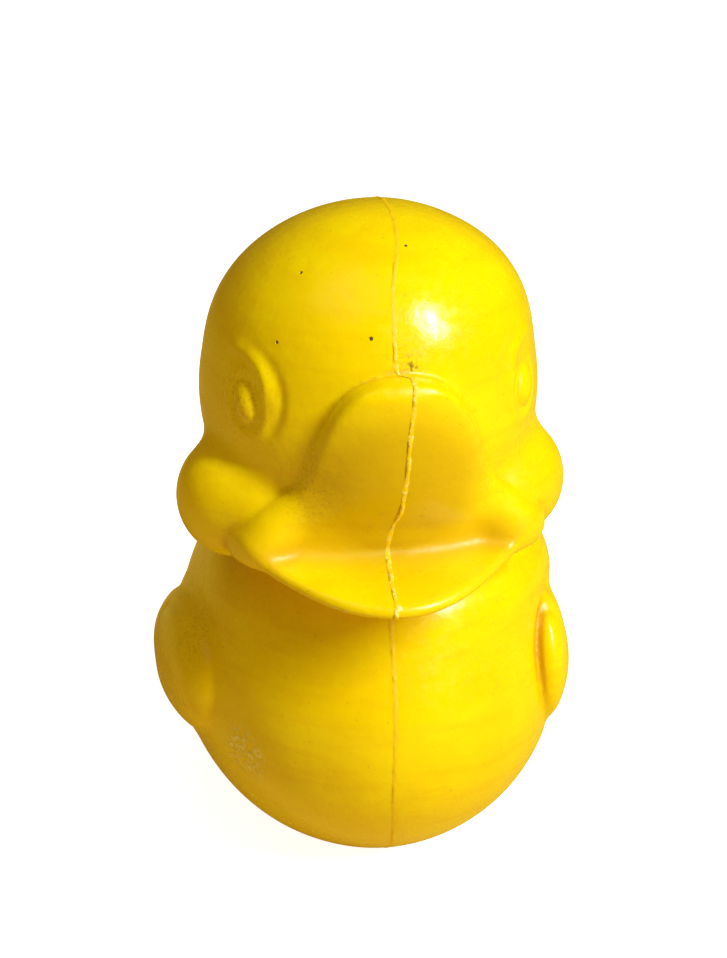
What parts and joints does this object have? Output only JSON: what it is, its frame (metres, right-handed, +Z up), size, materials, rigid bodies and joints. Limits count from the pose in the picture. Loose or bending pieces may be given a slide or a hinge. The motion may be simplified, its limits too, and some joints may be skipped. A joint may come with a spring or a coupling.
{
  "type": "rubber squeak toy",
  "caption": "Hollow rubber squeak toy in the shape of a sitting duckling, bonded from half shells on its middle seam, with a snap-in reed squeaker in its flat base.",
  "frame": {"origin": "centre of the toy's footprint on the base plane, on the axis of the squeaker hole", "axes": "+Z up from the flat base to the crown, -Y the way the toy faces, +X the toy's left side"},
  "size_m": [0.0777, 0.1074, 0.1252],
  "materials": {
    "rubber": "satin moulded rubber, yellow right through",
    "seam": "rough chipped flash and cement",
    "housing": "off-white moulded plastic",
    "cap": "off-white moulded plastic",
    "holder": "red moulded plastic",
    "reed": "clear film",
    "clamp": "drawn brass"
  },
  "bodies": {
    "toy": {"right_shell": "rubber", "left_shell": "rubber", "seam_bead": "seam", "squeaker_housing": "housing", "squeaker_cap": "cap", "reed_holder": "holder", "reed_clamp": "clamp"},
    "reed": {"reed_tongue": "reed"}
  },
  "joints": [
    {"name": "reed_beat", "type": "hinge", "parent": "toy", "child": "reed", "pos_m": [0, -0.00228, 0.0052], "axis": [1, 0, 0], "range_deg": [-3, 6]}
  ]
}
